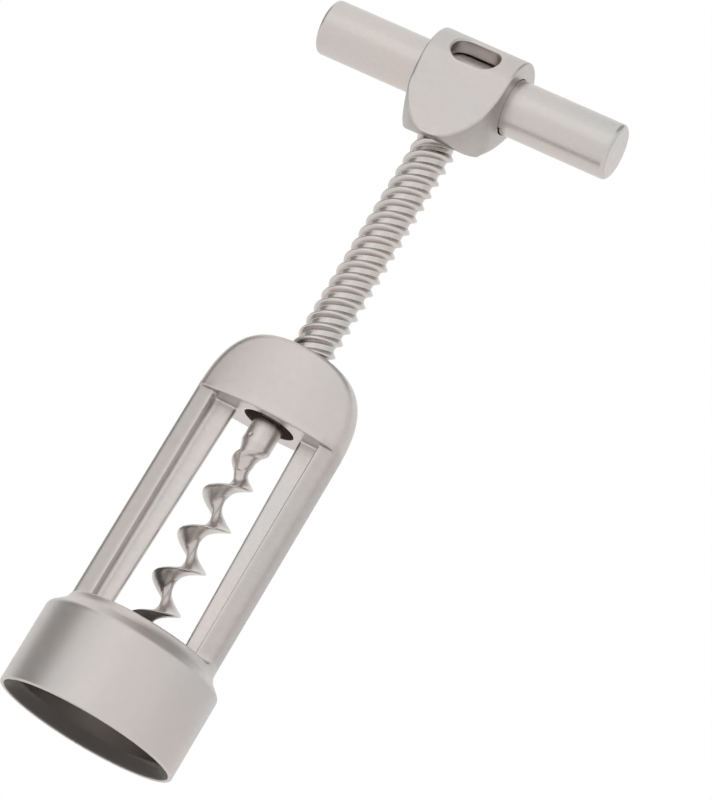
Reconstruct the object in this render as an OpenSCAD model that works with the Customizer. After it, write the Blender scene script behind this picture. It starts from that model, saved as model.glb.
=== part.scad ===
// Bell corkscrew, standing on the mouth of its bell.
// The origin is the centre of the mouth, +Z is up the spindle, and the two legs stand along X.

/* [Bell ring] */
// Outside diameter of the ring
bell_d = 39.6; // [39.2:0.1:41]
// Height of the ring, up to the foot of the window
bell_h = 22.5; // [22:0.5:24]
// Height at which the ring's shoulder begins
shoulder_z = 17.9; // [17:0.1:18.5]
// Bore that slips over the bottle's lip
mouth_d = 34; // [33:0.5:35]
// Height of the bevel that leads into the bore
mouth_bevel = 2.6; // [1.5:0.1:3.5]
// Height of the bore's upper end, where the seat begins
bore_top_z = 15; // [14:0.5:16]
// Opening through which the cork rises into the window
opening_d = 27; // [26:0.5:28]

/* [Legs] */
// Outside diameter over the two legs
legs_d = 33.3; // [33:0.1:33.4]
// Distance from the axis to the flange's inner face
flange_in = 12.4; // [12:0.1:13]
// Width of the flange, front to back
flange_w = 8.6; // [7:0.2:10]
// Thickness of the web
web_t = 2; // [1.6:0.1:3]
// Distance from the axis to the web's edge, at the foot
web_low = 8.8; // [8:0.1:9.6]
// Distance from the axis to the web's edge, under the crown
web_high = 7.5; // [7:0.1:8]

/* [Crown] */
// Height of the crown's flat underside
crown_z = 73.5; // [70:0.5:76]
// Height of the crown
crown_h = 16.7; // [16:0.1:18]
// Depth of the crown over its middle, front to back
crown_depth = 16.4; // [15.6:0.1:17]
// Hole in the crown's underside
crown_hole_d = 11.5; // [11:0.1:12]

/* [Spindle] */
// Outside diameter of the thread
thread_d = 9.4; // [9.2:0.1:9.6]
// Diameter at the bottom of the thread
root_d = 7.4; // [7.2:0.1:7.6]
// Starts of the thread
starts = 3; // [3:1:3]
// Rise of the thread in one turn
lead = 9.45; // [9:0.05:10]
// Diameter of the plain neck under the thread
neck_d = 5.4; // [5.2:0.1:5.6]
// Diameter of the ferrule that holds the worm
ferrule_d = 6.7; // [6.5:0.1:7]
// Height of the ferrule's lower end
ferrule_z = 67.6; // [67:0.1:68]

/* [Worm] */
// Outside diameter of the worm
worm_d = 9.6; // [9:0.1:10]
// Rise of the worm in one turn
worm_pitch = 10.14; // [9.5:0.01:11]
// Height of the worm's point
worm_tip_z = 16; // [15.5:0.5:18]

/* [Head] */
// Height of the cross bar's axis
bar_z = 159.5; // [158:0.5:162]
// Diameter of the cross bar
bar_d = 12.4; // [12:0.1:12.6]
// Length of the cross bar
bar_len = 69.7; // [60:0.5:80]
// Travel of the bar to each side
bar_travel = 4; // [2:0.5:4]
// Radius of the hub round the bar
hub_r = 10; // [9.8:0.1:10.2]
// Width of the hub along the bar
hub_w = 20.2; // [19:0.1:21]
// Turn of the head as it stands, about the spindle
head_turn = -3.8; // [-10:0.1:10]

/* [Hidden] */
$fn = 96;
eps = 0.01;

// Flat lip round the mouth
lip_w = 0.9;

// Crown and bush
crown_r = legs_d / 2 - 0.05;
crown_arm = 4.6;
top_hole_d = 10;
bush_z = 80.3;
bush_top_z = 87.5;
thread_gap = 0.2;

// Spindle
thread_z = 80.4;
thread_top_z = 145;
socket_top_z = 152.3;
shank_d = 7.2;
thread_phase_z = 133.5;
groove_z = 77.65;
groove_h = 0.8;
groove_d = 4.6;
neck_top_z = thread_z;
neck_low_z = 73.9;
cone_low_z = 73;

// Washer and ring
washer_d = 10.8;
washer_z = 78.6;
washer_t = 1.5;
neck_gap = 0.08;
ring_d = 8;
ring_t = 0.7;

// Worm
worm_core_r = 0.15;
worm_lobe_angle = 39;
worm_root_z = 58;
worm_root_d = 4;
worm_shank_d = 4.4;
worm_shank_top_z = 73.8;
worm_phase_z = 8.92;
worm_full_z = 57;
worm_top_z = ferrule_z + 0.2;
worm_neck_share = 0.62;
tip_h = 6;
pin_z = 69.3;
pin_d = 1.1;
pin_angle = -112;

// Head
bore_gap = 0.1;
bore_d = bar_d + 2 * bore_gap;
bar_round = 0.9;
hub_face_y = -10.1;
hub_foot = 17.3;
hub_corner = 3.44;
slot_len = 10.9;
slot_w = 7;
slot_lift = 25;
hub_pin_d = 2;
hub_pin_drop = 8.9;
key_x = 4.9;
key_w = 2.3;
key_depth = 1.1;
key_pin_d = 2;
key_pin_drop = 12.4;

// A flattened circle as a polygon. At power 2 it is an ellipse, and higher powers fill its corners.
function rounded(rx, ry, power, n = 48) =
  [for (i = [0:n - 1])
    let (a = 360 * i / n, c = cos(a), s = sin(a))
    [rx * sign(c) * pow(abs(c), 2 / power), ry * sign(s) * pow(abs(s), 2 / power)]];

// Half width of the crown at share u of its height.
function crown_half(u) = crown_r * pow(1 - pow(u, 2.41), 1 / 3.73);

// Half depth of the crown at a distance from its middle: its front and back bend away evenly
// towards the legs.
function crown_front(x) = crown_depth / 2 - (crown_depth / 2 - crown_arm) * pow(x / crown_r, 2);

// Half width of the hub's lower body at a depth below the bar's axis, and the reach of its back.
function hub_half(drop) = 13.8 - 0.026 * drop * drop;
function hub_back(drop) = 10 - 0.0487 * pow(drop, 2.037);

// Section of the hub's lower body across the spindle: a circle between the two end faces and the
// shield, with a flatter back that draws in as the body goes down.
function hub_section(drop) =
  let (
    w = hub_half(drop),
    back = hub_back(drop),
    low = back < 0 ? asin(-back / w) : 0)
  concat(
    [for (i = [0:24])
      let (a = -low - (180 - 2 * low) * i / 24)
      [end_clip(w * cos(a)), max(w * sin(a), hub_face_y + 0.5)]],
    [for (a = [165:-15:15])
      if (back > 0)
        [end_clip(w * sign(cos(a)) * pow(abs(cos(a)), 2 / hub_corner)),
          back * pow(sin(a), 2 / hub_corner)]]);
function end_clip(x) = max(-hub_w / 2, min(hub_w / 2, x));

// One arc of points, from angle a to angle b round (x, y).
function arc(x, y, r, a, b, n = 6) =
  [for (i = [0:n]) [x + r * cos(a + (b - a) * i / n), y + r * sin(a + (b - a) * i / n)]];

// Section of the spindle across its axis: one rounded ridge for each start, on a round root.
// grow moves the whole outline outwards, for the thread of the bush.
ridge_half = 0.24;
ridge_places = [-1, -0.8, -0.42, 0, 0.42, 0.8, 1];
root_places = [0.41, 0.59];
function thread_section(grow) =
  [for (k = [0:starts - 1])
    for (p = concat([for (q = ridge_places) q * ridge_half], root_places))
      let (
        share = min(1, abs(p) / ridge_half),
        r = root_d / 2 + grow + (thread_d - root_d) / 2 * sqrt(1 - share * share),
        a = (k + p) * 360 / starts)
      [r * cos(a), r * sin(a)]];

// Section of the worm across its axis: a thin core with one lobe that runs out to a sharp edge.
function worm_section() =
  [for (i = [-8:7])
    let (
      a = 180 * sign(i) * pow(abs(i) / 8, 1.8),
      r = worm_core_r + (worm_d / 2 - worm_core_r) / (1 + pow(abs(a) / worm_lobe_angle, 2.15)))
    [r * cos(a), r * sin(a)]];

module bell_frame() {
  color("#c3beb9")
  difference() {
    union() {
      bell_ring();
      for (side = [0, 180]) rotate(side) leg();
      crown();
    }
    translate([0, 0, crown_z - 1]) cylinder(d = crown_hole_d, h = bush_top_z - crown_z + 1);
    translate([0, 0, crown_z]) cylinder(d = top_hole_d, h = crown_h + 1);
  }
}

// The ring: a bevel leads into the bore, the bottle's lip meets the sloping seat, and the cork
// passes the opening. Outside, the shoulder sweeps up to the legs.
module bell_ring() {
  rotate_extrude()
    polygon(concat(
      [[bell_d / 2 - lip_w, 0], [bell_d / 2 - 0.25, 0], [bell_d / 2, 0.25]],
      arc(bell_d / 2 - 1.4, shoulder_z, 1.4, 0, 48),
      arc(legs_d / 2 + 3.1, bell_h + 0.2, 3, 228, 188),
      [[16.4, bell_h], [opening_d / 2, bell_h],
       [opening_d / 2, bore_top_z + 4.2], [mouth_d / 2, bore_top_z], [mouth_d / 2, mouth_bevel]]));
}

// One leg: a flange outside and a tapered web inside.
module leg() {
  intersection() {
    translate([flange_in, -flange_w / 2, bell_h - 4])
      cube([legs_d / 2, flange_w, crown_z - bell_h + 5]);
    cylinder(d = legs_d, h = crown_z + 2);
  }
  rotate([90, 0, 0])
    linear_extrude(web_t, center = true)
      polygon([[web_low, bell_h - 1], [flange_in + 1, bell_h - 1], [flange_in + 1, crown_z + 1],
        [web_high, crown_z + 1]]);
}

// The crown: a dome of revolution, cut off at the front and back along its plan.
module crown() {
  reach = legs_d / 2 + 1;
  n = 12;
  intersection() {
    rotate_extrude()
      polygon(concat(
        [[0, crown_z]],
        [for (i = [0:n]) let (u = sin(90 * i / n)) [crown_half(u), crown_z + crown_h * u]]));
    translate([0, 0, crown_z - 1])
      linear_extrude(crown_h + 2)
        polygon(concat(
          [for (i = [-n:n]) [reach * i / n, -crown_front(reach * i / n)]],
          [for (i = [-n:n]) [-reach * i / n, crown_front(reach * i / n)]]));
  }
}

// The threaded bush, pressed into the crown from below.
module thread_bush() {
  color("#b08d57")
  difference() {
    translate([0, 0, bush_z]) cylinder(d = crown_hole_d, h = bush_top_z - bush_z);
    thread(bush_z - 0.5, bush_top_z + 0.5, thread_gap, 12);
  }
}

// A length of the three-start thread, right-handed and in phase over the whole spindle.
module thread(low, high, grow, step) {
  rotate(head_turn + 360 * (low - thread_phase_z) / lead)
    translate([0, 0, low])
      linear_extrude(high - low, twist = -360 * (high - low) / lead,
        slices = ceil(360 / step * (high - low) / lead), $fn = 0)
        polygon(thread_section(grow));
}

// The loose washer under the bush. It stops the spindle at the top.
module stop_washer() {
  color("#8f8d8a")
  translate([0, 0, washer_z])
    difference() {
      cylinder(d = washer_d, h = washer_t);
      translate([0, 0, -1]) cylinder(d = neck_d + 2 * neck_gap, h = washer_t + 2);
    }
}

// The snap ring in the neck's groove, which carries the washer.
module stop_ring() {
  color("#77746f")
  rotate(head_turn)
    translate([0, 0, groove_z + (groove_h - ring_t) / 2])
      difference() {
        cylinder(d = ring_d, h = ring_t);
        translate([0, 0, -1]) cylinder(d = groove_d, h = ring_t + 2);
        translate([0, -1.5, -1]) cube([ring_d, 3, ring_t + 2]);
      }
}

module spindle() {
  color("#c9c5c0")
  difference() {
    union() {
      thread(thread_z, thread_top_z, 0, 20);
      translate([0, 0, thread_top_z - 1]) cylinder(d = shank_d, h = socket_top_z - thread_top_z + 1);
      rotate_extrude()
        polygon([[0, ferrule_z], [ferrule_d / 2 - 0.2, ferrule_z], [ferrule_d / 2, ferrule_z + 0.2],
          [ferrule_d / 2, cone_low_z], [neck_d / 2, neck_low_z], [neck_d / 2, groove_z],
          [groove_d / 2, groove_z], [groove_d / 2, groove_z + groove_h],
          [neck_d / 2, groove_z + groove_h], [neck_d / 2, neck_top_z + 1],
          [0, neck_top_z + 1]]);
    }
    translate([0, 0, ferrule_z - 1]) cylinder(d = worm_shank_d, h = worm_shank_top_z - ferrule_z + 1);
    worm_pin_place() cylinder(d = pin_d, h = ferrule_d);
    hub_pin_place() cylinder(d = hub_pin_d, h = 40, center = true);
  }
}

// The pin's own X axis, turned to stand out of the ferrule.
module worm_pin_place() {
  rotate(head_turn + pin_angle) translate([0, 0, pin_z]) rotate([0, 90, 0]) children();
}

module hub_pin_place() {
  rotate(head_turn) translate([0, 0, bar_z - hub_pin_drop]) rotate([90, 0, 0]) children();
}

// The worm: shank, a first turn that grows out of the ferrule, the full turns and the point.
module worm() {
  color("#b9b4ae") {
    difference() {
      union() {
        translate([0, 0, ferrule_z + eps])
          cylinder(d = worm_shank_d, h = worm_shank_top_z - ferrule_z - eps);
        worm_turns(worm_full_z - eps, worm_top_z, worm_neck_share);
        worm_turns(worm_tip_z + tip_h - eps, worm_full_z, 1);
        worm_turns(worm_tip_z + tip_h, worm_tip_z, 0.08);
        translate([0, 0, worm_root_z])
          cylinder(d1 = 4 * worm_core_r, d2 = worm_root_d, h = worm_top_z - worm_root_z, $fn = 12);
      }
      worm_pin_place() cylinder(d = pin_d, h = ferrule_d);
    }
  }
}

// A stretch of the worm from one height to another, ending at the given share of its size.
module worm_turns(from, to, share) {
  rise = to - from;
  rotate(head_turn + 360 * (from - worm_phase_z) / worm_pitch)
    translate([0, 0, from])
      mirror([0, 0, rise < 0 ? 1 : 0])
        linear_extrude(abs(rise), twist = -360 * rise / worm_pitch, scale = share,
          slices = ceil(20 * abs(rise) / worm_pitch), $fn = 0)
          polygon(worm_section());
}

// The pin that locks the worm, driven in a little below the ferrule's surface.
module worm_pin() {
  color("#5f5b57")
  worm_pin_place() cylinder(d = pin_d, h = ferrule_d / 2 - 0.2);
}

module hub() {
  color("#bdb9b5")
  rotate(head_turn)
    translate([0, 0, bar_z])
      difference() {
        hub_body();
        rotate([0, 90, 0]) cylinder(d = bore_d, h = hub_w + 2, center = true);
        for (side = [-1, 1])
          translate([side * (hub_w / 2 + eps), 0, 0])
            rotate([0, -90 * side, 0])
              cylinder(d1 = bore_d + 0.8, d2 = bore_d, h = 0.5);
        hub_slot();
        translate([0, 0, -hub_foot - 1]) cylinder(d = shank_d, h = hub_foot + 1 - bar_z + socket_top_z);
        translate([0, 0, -hub_foot - 1])
          cylinder(d = thread_d + 0.4, h = hub_foot + 1.2 - bar_z + thread_top_z);
        translate([0, 0, -hub_pin_drop]) rotate([90, 0, 0])
          translate([0, 0, -20]) cylinder(d = hub_pin_d, h = 26.7);
        translate([key_x, 0, -20]) cylinder(d = key_pin_d, h = 20);
      }
}

// The hub's outside: round over the bar, a body below it that narrows to the spindle and rises
// to the back, and a flat shield in front that hangs lowest.
module hub_body() {
  hull() {
    intersection() {
      rotate([0, 90, 0]) cylinder(r = hub_r, h = hub_w, center = true, $fn = 72);
      translate([-hub_w, -hub_r, 0]) cube([2 * hub_w, 2 * hub_r, hub_r]);
    }
    for (drop = [2, 4.5, 7, 9.5, 12, 14, 15.5])
      translate([0, 0, -drop]) linear_extrude(eps) polygon(hub_section(drop));
    hub_shield();
  }
}

// The shield's outline: straight sides down from above the bar's axis, then a rounded foot.
module hub_shield() {
  spring = 3;
  translate([0, hub_face_y + eps, 0])
    rotate([90, 0, 0])
      linear_extrude(eps)
        polygon(concat(
          [[hub_w / 2, 1.5], [-hub_w / 2, 1.5]],
          [for (p = rounded(hub_w / 2, hub_foot - spring, 1.8, 48))
            if (p[1] < eps) [p[0], p[1] - spring]]));
}

// The oval slot over the bar, through the upper front wall only.
module hub_slot() {
  rotate([-90 - slot_lift, 0, 0]) rotate([0, 180, 0]) {
    for (side = [-1, 1])
      translate([side * (slot_len - slot_w) / 2, 0, 0]) cylinder(d = slot_w, h = hub_r + 2);
    translate([-(slot_len - slot_w) / 2, -slot_w / 2, 0]) cube([slot_len - slot_w, slot_w, hub_r + 2]);
  }
}

// The cross pin through hub and spindle, driven in from the back.
module hub_pin() {
  color("#77746f")
  hub_pin_place() translate([0, 0, -4.6]) cylinder(d = hub_pin_d, h = 11.1);
}

// The round bar. A keyway under it takes the retaining pin.
module tommy_bar() {
  half = bar_len / 2;
  r = bar_d / 2;
  color("#c6c2bd")
  rotate(head_turn)
    translate([0, 0, bar_z])
      difference() {
        rotate([0, 90, 0])
          rotate_extrude()
            polygon(concat(
              [[0, -half]],
              arc(r - bar_round, -half + bar_round, bar_round, -90, 0),
              arc(r - bar_round, half - bar_round, bar_round, 0, 90),
              [[0, half]]));
        translate([key_x - bar_travel - key_w / 2, -key_w / 2, -r - 1])
          cube([2 * bar_travel + key_w, key_w, key_depth + 1]);
      }
}

// The pin in the hub that stands in the bar's keyway.
module bar_retaining_pin() {
  color("#77746f")
  rotate(head_turn)
    translate([key_x, 0, bar_z - key_pin_drop])
      cylinder(d = key_pin_d, h = key_pin_drop - bar_d / 2 + key_depth - 0.2);
}

bell_frame();
thread_bush();
stop_washer();
stop_ring();
spindle();
worm();
worm_pin();
hub();
hub_pin();
tommy_bar();
bar_retaining_pin();
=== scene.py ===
import math

import bpy
import numpy as np
from mathutils import Matrix, Vector


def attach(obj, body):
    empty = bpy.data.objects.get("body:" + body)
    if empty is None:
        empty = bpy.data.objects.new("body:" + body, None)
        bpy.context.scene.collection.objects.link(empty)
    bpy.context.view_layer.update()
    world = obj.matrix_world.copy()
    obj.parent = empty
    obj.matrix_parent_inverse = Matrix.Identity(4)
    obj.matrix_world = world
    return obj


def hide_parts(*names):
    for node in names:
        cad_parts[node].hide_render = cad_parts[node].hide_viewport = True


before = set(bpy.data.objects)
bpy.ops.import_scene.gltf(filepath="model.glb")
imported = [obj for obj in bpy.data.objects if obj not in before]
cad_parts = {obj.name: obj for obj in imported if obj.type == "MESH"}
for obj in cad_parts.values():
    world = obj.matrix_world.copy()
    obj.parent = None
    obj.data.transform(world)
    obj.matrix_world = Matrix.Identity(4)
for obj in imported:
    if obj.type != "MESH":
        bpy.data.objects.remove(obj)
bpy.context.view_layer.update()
scene = bpy.context.scene

# Camera. The tool floats a little above the eye, tipped to the right: the camera stands below
# the crown, looks up, and is rolled the other way. Its lens is long, so that sides stay parallel.
IMAGE_WIDTH_PX = 712
FOCAL_PX = 3643.6
SENSOR_MM = 36.0
CLIP_NEAR, CLIP_FAR = 0.05, 20.0
VIEW_DISTANCE = 0.750
VIEW_AZIMUTH = math.radians(14.3)
VIEW_ELEVATION = math.radians(-16.32)
VIEW_ROLL = math.radians(-30.73)
AIM_HEIGHT = 0.08768
AIM_SIDE = 0.01272


def camera_matrix():
    """The camera looks from its azimuth and elevation at a point on the spindle's line, moved
    sideways, and is then turned about its own line of sight."""
    rise, turn, roll = VIEW_ELEVATION, VIEW_AZIMUTH, VIEW_ROLL
    out = Vector((math.cos(rise) * math.sin(turn), -math.cos(rise) * math.cos(turn), math.sin(rise)))
    level = Vector((math.cos(turn), math.sin(turn), 0.0))
    upright = out.cross(level)
    place = Vector((0.0, 0.0, AIM_HEIGHT)) + level * AIM_SIDE + out * VIEW_DISTANCE
    right = level * math.cos(roll) - upright * math.sin(roll)
    up = level * math.sin(roll) + upright * math.cos(roll)
    matrix = Matrix((right, up, out)).transposed().to_4x4()
    matrix.translation = place
    return matrix


camera = bpy.data.objects.new("camera", bpy.data.cameras.new("camera"))
camera.data.sensor_fit = "HORIZONTAL"
camera.data.sensor_width = SENSOR_MM
camera.data.lens = FOCAL_PX * SENSOR_MM / IMAGE_WIDTH_PX
camera.data.clip_start = CLIP_NEAR
camera.data.clip_end = CLIP_FAR
camera.matrix_world = camera_matrix()
scene.collection.objects.link(camera)
scene.camera = camera
scene.view_settings.view_transform = "Standard"

# World. A white studio all round: the camera, the metal and anything clear see it white, and the
# light that it throws on the tool is a little weaker.
STUDIO_WHITE = (1.0, 1.0, 1.0, 1.0)
SEEN_STRENGTH, AMBIENT_STRENGTH = 1.0, 0.7
world = bpy.data.worlds.new("white_studio")
scene.world = world
world.use_nodes = True
tree = world.node_tree
tree.nodes.clear()
path = tree.nodes.new("ShaderNodeLightPath")
seen = tree.nodes.new("ShaderNodeBackground")
seen.inputs["Color"].default_value = STUDIO_WHITE
seen.inputs["Strength"].default_value = SEEN_STRENGTH
ambient = tree.nodes.new("ShaderNodeBackground")
ambient.inputs["Color"].default_value = STUDIO_WHITE
ambient.inputs["Strength"].default_value = AMBIENT_STRENGTH
mix = tree.nodes.new("ShaderNodeMixShader")
output = tree.nodes.new("ShaderNodeOutputWorld")
ray = path.outputs["Is Camera Ray"]
for other in ("Is Glossy Ray", "Is Transmission Ray"):
    either = tree.nodes.new("ShaderNodeMath")
    either.operation = "MAXIMUM"
    tree.links.new(ray, either.inputs[0])
    tree.links.new(path.outputs[other], either.inputs[1])
    ray = either.outputs["Value"]
tree.links.new(ray, mix.inputs["Fac"])
tree.links.new(ambient.outputs["Background"], mix.inputs[1])
tree.links.new(seen.outputs["Background"], mix.inputs[2])
tree.links.new(mix.outputs["Shader"], output.inputs["Surface"])

# Floor. A plain pale sheet under the bell. It has one face only, so from below the camera looks
# through it. In the metal's reflections it glows white, and under the bell's mouth its glow is
# dark: a painted shade where little light would come.
FLOOR_HALF = 2.0
FLOOR_DROP = 0.0003
FLOOR_COLOUR = (0.86, 0.86, 0.86, 1.0)
FLOOR_ROUGHNESS = 0.9
MIRRORED_COLOUR = (1.0, 0.98, 0.97, 1.0)
MOUTH_DARK_R, MOUTH_LIGHT_R = 0.0184, 0.019
MOUTH_PAINTED_SHADE, OPEN_TONE = 0.1, 1.0


def surface(name, points, faces, ends=(), smooth=True):
    """A mesh object at the origin, from arrays of points and faces, and lists of points for its
    end faces."""
    mesh = bpy.data.meshes.new(name)
    mesh.from_pydata(points.tolist(), [], faces.tolist() + [list(end) for end in ends])
    mesh.update()
    mesh.polygons.foreach_set("use_smooth", np.full(len(mesh.polygons), smooth))
    piece = bpy.data.objects.new(name, mesh)
    scene.collection.objects.link(piece)
    return piece


floor_points = np.array([[-1, -1, 0], [1, -1, 0], [1, 1, 0], [-1, 1, 0]]) * FLOOR_HALF
floor_points = floor_points - np.array([0.0, 0.0, FLOOR_DROP])
floor = surface("floor", floor_points, np.array([[0, 1, 2, 3]]), smooth=False)
floor_finish = bpy.data.materials.new("pale_floor")
floor_finish.use_nodes = True
tree = floor_finish.node_tree
shader = tree.nodes["Principled BSDF"]
shader.inputs["Base Color"].default_value = FLOOR_COLOUR
shader.inputs["Roughness"].default_value = FLOOR_ROUGHNESS
glow = tree.nodes.new("ShaderNodeEmission")
glow.inputs["Color"].default_value = MIRRORED_COLOUR
place = tree.nodes.new("ShaderNodeTexCoord").outputs["Object"]
away = tree.nodes.new("ShaderNodeVectorMath")
away.operation = "LENGTH"
tree.links.new(place, away.inputs[0])
# Painted shade: the floor's reflected glow is dark inside the mouth's radius and white outside it.
shade = tree.nodes.new("ShaderNodeMapRange")
shade.inputs["From Min"].default_value = MOUTH_DARK_R
shade.inputs["From Max"].default_value = MOUTH_LIGHT_R
shade.inputs["To Min"].default_value = MOUTH_PAINTED_SHADE
shade.inputs["To Max"].default_value = OPEN_TONE
tree.links.new(away.outputs["Value"], shade.inputs["Value"])
tree.links.new(shade.outputs["Result"], glow.inputs["Strength"])
path = tree.nodes.new("ShaderNodeLightPath")
mirrored = tree.nodes.new("ShaderNodeMixShader")
tree.links.new(path.outputs["Is Glossy Ray"], mirrored.inputs["Fac"])
tree.links.new(shader.outputs["BSDF"], mirrored.inputs[1])
tree.links.new(glow.outputs["Emission"], mirrored.inputs[2])
clear = tree.nodes.new("ShaderNodeBsdfTransparent")
geometry = tree.nodes.new("ShaderNodeNewGeometry")
mix = tree.nodes.new("ShaderNodeMixShader")
tree.links.new(geometry.outputs["Backfacing"], mix.inputs["Fac"])
tree.links.new(mirrored.outputs["Shader"], mix.inputs[1])
tree.links.new(clear.outputs["BSDF"], mix.inputs[2])
tree.links.new(mix.outputs["Shader"], tree.nodes["Material Output"].inputs["Surface"])
floor.data.materials.append(floor_finish)

# Lamps. Three soft boxes stand in front, at the right and above, all turned to the tool. The
# metal mirrors only the front one, so the others leave no bright patches on it.
LAMP_AIM = (0, 0, 0.09)


def soft_lamp(name, place, width, height, power, mirrored=True):
    """An area lamp at a place, turned to the tool. Metal may show it or not."""
    lamp = bpy.data.lights.new(name, "AREA")
    lamp.shape = "RECTANGLE"
    lamp.size, lamp.size_y = width, height
    lamp.energy = power
    holder = bpy.data.objects.new(name, lamp)
    holder.location = place
    holder.rotation_euler = (Vector(LAMP_AIM) - Vector(place)).to_track_quat("-Z", "Y").to_euler()
    holder.visible_glossy = mirrored
    scene.collection.objects.link(holder)


soft_lamp("front_light", (-0.22, -0.95, 0.34), width=0.6, height=0.8, power=0.2)
soft_lamp("right_light", (0.8, -0.5, 0.6), width=0.6, height=0.6, power=0.5, mirrored=False)
soft_lamp("top_light", (-0.3, 0.0, 0.95), width=0.7, height=0.9, power=1.6, mirrored=False)


# Cards. Three grey cards at the left, the right and above are painted reflections: they glow only
# in the plated metal's reflections, so that it mirrors something darker than the white studio there.
def painted_reflection_card(name, place, across, along, tone):
    """A flat card round a place, given by two half sides, that glows at its tone: a painted
    reflection. Only the metal's reflections see it: the camera and the light pass through it."""
    place, across, along = np.array(place), np.array(across), np.array(along)
    corners = place + np.array([-across - along, across - along, across + along, along - across])
    card = surface(name, corners, np.array([[0, 1, 2, 3]]), smooth=False)
    finish = bpy.data.materials.new(name)
    finish.use_nodes = True
    tree = finish.node_tree
    tree.nodes.clear()
    painted_reflection = tree.nodes.new("ShaderNodeEmission")
    painted_reflection.inputs["Color"].default_value = (tone, tone, tone, 1.0)
    clear = tree.nodes.new("ShaderNodeBsdfTransparent")
    path = tree.nodes.new("ShaderNodeLightPath")
    mix = tree.nodes.new("ShaderNodeMixShader")
    output = tree.nodes.new("ShaderNodeOutputMaterial")
    tree.links.new(path.outputs["Is Glossy Ray"], mix.inputs["Fac"])
    tree.links.new(clear.outputs["BSDF"], mix.inputs[1])
    tree.links.new(painted_reflection.outputs["Emission"], mix.inputs[2])
    tree.links.new(mix.outputs["Shader"], output.inputs["Surface"])
    card.data.materials.append(finish)
    card.visible_shadow = False


painted_reflection_card("left_card", (-0.9, -0.1, 0.35), across=(0.0, 0.42, 0.0), along=(0.0, 0.0, 0.65), tone=0.32)
painted_reflection_card("right_card", (0.8, 0.35, 0.35), across=(-0.25, 0.6, 0.0), along=(0.0, 0.0, 0.65), tone=0.88)
painted_reflection_card("high_card", (0.3, 0.0, 1.0), across=(0.42, 0.0, 0.0), along=(0.0, 0.5, 0.0), tone=0.45)

# Bell frame. One casting, nickel plated and blasted to a soft sheen: the ring that stands on
# the bottle, two T-section legs and the domed crown. All its edges are a little round. Its sizes
# are in millimetres, as are those of the pieces that follow.
MM = 0.001
RING_R = 19.8
RING_TOP = 22.5
SHOULDER_R, SHOULDER_Z = 19.337, 18.94
SHOULDER_OUT, SHOULDER_UP = 0.6691, 0.7431
MOUTH_R = 17.0
MOUTH_BEVEL, BEVEL_SLOPE = 2.6, 0.7308
SEAT_LOW, SEAT_SLOPE = 15.0, 0.8333
OPENING_R = 13.5
LEG_R = 16.65
FLANGE_IN, FLANGE_OUT = 12.35, LEG_R - 0.65
FLANGE_FOOT, FLANGE_FLARE, FLANGE_TAPER = 3.85, 0.2, 0.12
FLANGE_LOW, FLANGE_PAST = 18.5, 0.6
WEB_HALF = 1.0
WEB_IN_LOW, WEB_IN_HIGH = 8.8, 7.5
WEB_LOW, WEB_PAST = 20.5, 1.0
CROWN_R, CROWN_Z, CROWN_H = 16.6, 73.5, 16.7
DOME_ACROSS, DOME_UP = 3.73, 2.41
FRONT_HALF, FRONT_BEND = 8.2, 0.0132
BACK_MORE = 0.8
BUSH_HOLE_R, BUSH_TOP = 5.75, 87.5
TOP_HOLE_R = 5.0
SHOULDER_ROUND, RIM_ROUND, FOOT_ROUND = 0.45, 0.35, 0.3
SEAT_ROUND, BEVEL_ROUND, LIP_ROUND = 0.5, 0.4, 0.12
FLANGE_ROUND, FLANGE_CORNER, WEB_ROUND = 0.8, 0.35, 0.85
CROWN_ROUND, CROWN_FOOT_ROUND, HOLE_ROUND = 1.0, 0.4, 0.25
STEP_FILLET, LEG_FILLET, CROWN_FILLET, RING_FILLET = 1.0, 0.9, 0.5, 1.2
DOME_LEAST_SLOPE = 0.04


def edge(a, b, r):
    """Where two surfaces meet outwards: the larger distance, with a round edge of radius r."""
    return np.minimum(np.maximum(a, b), -r) + np.hypot(np.maximum(a + r, 0), np.maximum(b + r, 0))


def join(a, b, r):
    """Where two bodies meet inwards: the smaller distance, with a fillet of radius r."""
    return -edge(-a, -b, r)


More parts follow.
